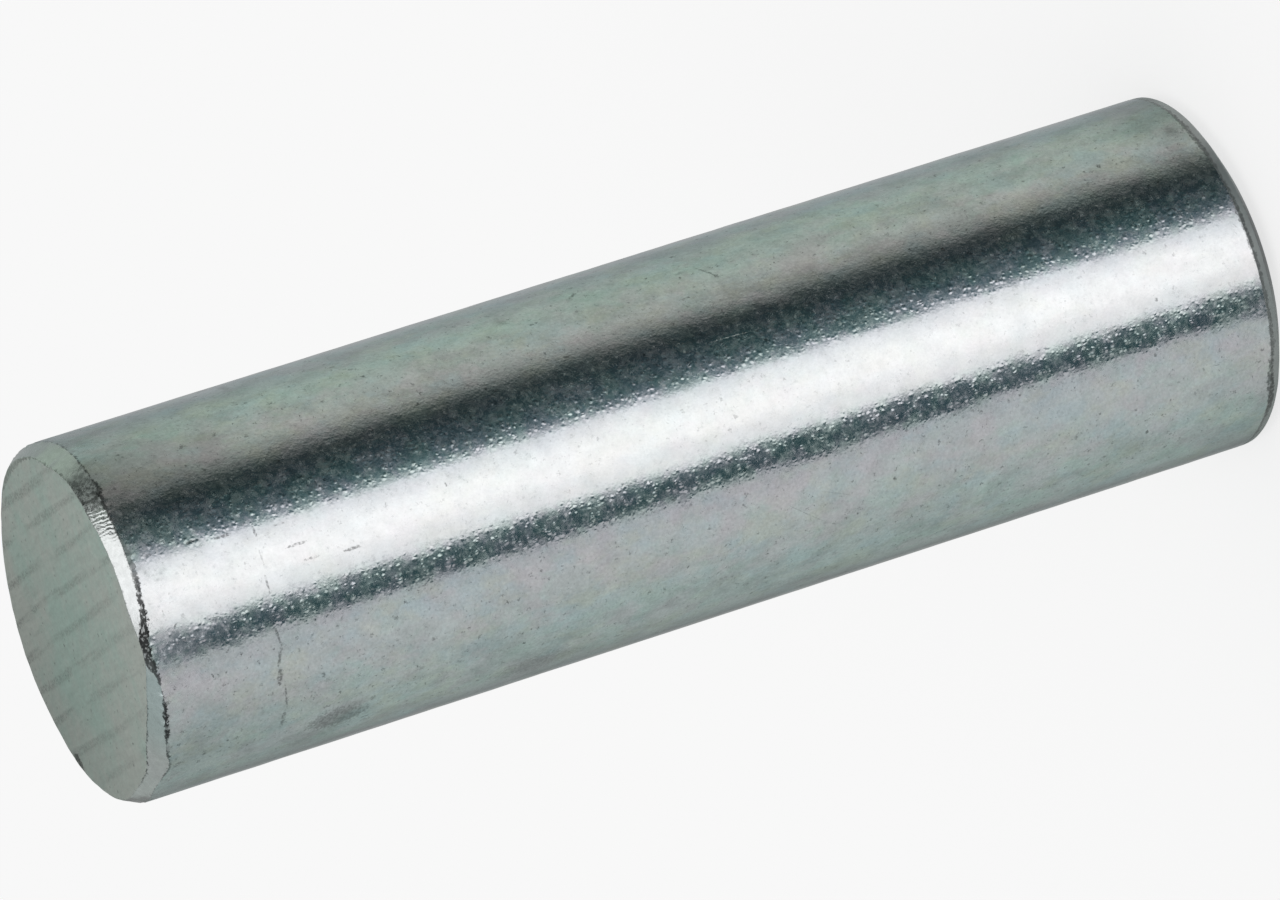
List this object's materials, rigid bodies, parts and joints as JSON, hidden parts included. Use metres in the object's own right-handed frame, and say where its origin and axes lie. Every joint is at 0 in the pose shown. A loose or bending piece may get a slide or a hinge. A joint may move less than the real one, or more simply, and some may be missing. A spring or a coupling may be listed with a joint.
{
  "type": "locking pin",
  "caption": "Plain round locking pin in zinc plated steel, bevelled at both ends, for holding two drilled parts together.",
  "frame": {"origin": "centre of the turned end's face, on which the pin stands", "axes": "+Z along the pin, from the turned end to the sawn end"},
  "size_m": [0.016, 0.016, 0.055],
  "materials": {
    "zinc_plate": "bright zinc plate, satin on the sawn face"
  },
  "bodies": {
    "root": {"locking_pin": "zinc_plate"}
  },
  "joints": []
}
